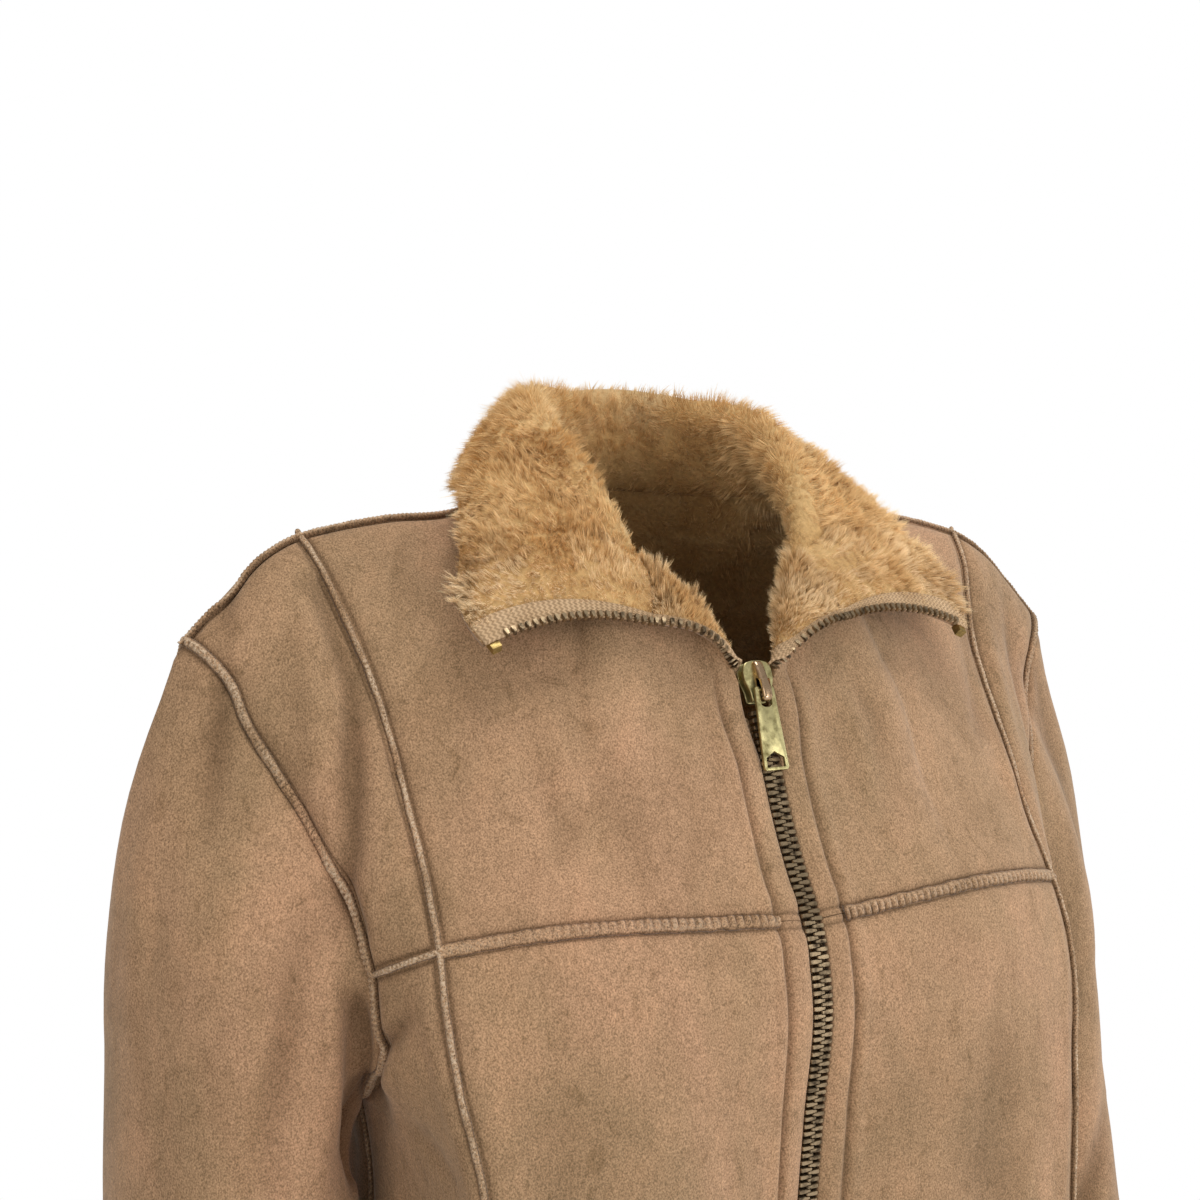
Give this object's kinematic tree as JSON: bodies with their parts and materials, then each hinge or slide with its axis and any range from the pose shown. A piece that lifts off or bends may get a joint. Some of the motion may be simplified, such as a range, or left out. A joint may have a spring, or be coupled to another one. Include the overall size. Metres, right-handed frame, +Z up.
{
  "type": "shearling jacket",
  "caption": "Hip-length faux-shearling jacket, zipped to the chest, with its fur-lined collar turned out; hollow as worn, with open neck, hem and cuffs.",
  "frame": {"origin": "between the wearer's shoulders, in the middle plane, at the height of the neck side of the shoulder seams, where the shoulders carry the jacket", "axes": "+Z up, the wearer faces -Y, the wearer's left is +X"},
  "size_m": [0.526, 0.223, 0.6793],
  "materials": {
    "back": "napped faux suede with a pile side",
    "collar": "deep plush pile",
    "front_lower_centre_left": "napped faux suede with a pile side",
    "front_lower_centre_right": "napped faux suede with a pile side",
    "front_lower_side_left": "napped faux suede with a pile side",
    "front_lower_side_right": "napped faux suede with a pile side",
    "front_upper_centre_left": "napped faux suede with a pile side",
    "front_upper_centre_right": "napped faux suede with a pile side",
    "front_upper_side_left": "napped faux suede with a pile side",
    "front_upper_side_right": "napped faux suede with a pile side",
    "sleeve_left": "napped faux suede with a pile side",
    "sleeve_right": "napped faux suede with a pile side",
    "zip_box": "polished",
    "zip_chain": "antique, dulled",
    "zip_pull": "polished",
    "zip_slider": "polished",
    "zip_tape_left": "woven tape",
    "zip_tape_right": "woven tape",
    "zip_teeth_left": "antique, dulled",
    "zip_teeth_right": "antique, dulled",
    "zip_top_stop_left": "polished",
    "zip_top_stop_right": "polished"
  },
  "bodies": {
    "jacket": {"back": "back", "collar": "collar", "front_lower_centre_left": "front_lower_centre_left", "front_lower_centre_right": "front_lower_centre_right", "front_lower_side_left": "front_lower_side_left", "front_lower_side_right": "front_lower_side_right", "front_upper_centre_left": "front_upper_centre_left", "front_upper_centre_right": "front_upper_centre_right", "front_upper_side_left": "front_upper_side_left", "front_upper_side_right": "front_upper_side_right", "sleeve_left": "sleeve_left", "sleeve_right": "sleeve_right", "zip_box": "zip_box", "zip_chain": "zip_chain", "zip_slider": "zip_slider", "zip_tape_left": "zip_tape_left", "zip_tape_right": "zip_tape_right", "zip_teeth_left": "zip_teeth_left", "zip_teeth_right": "zip_teeth_right", "zip_top_stop_left": "zip_top_stop_left", "zip_top_stop_right": "zip_top_stop_right"},
    "pull": {"zip_pull": "zip_pull"}
  },
  "joints": [
    {"name": "pull_swing", "type": "hinge", "parent": "jacket", "child": "pull", "pos_m": [0, -0.07675, -0.10999], "axis": [-1, 0, 0], "range_deg": [0, 135]}
  ]
}
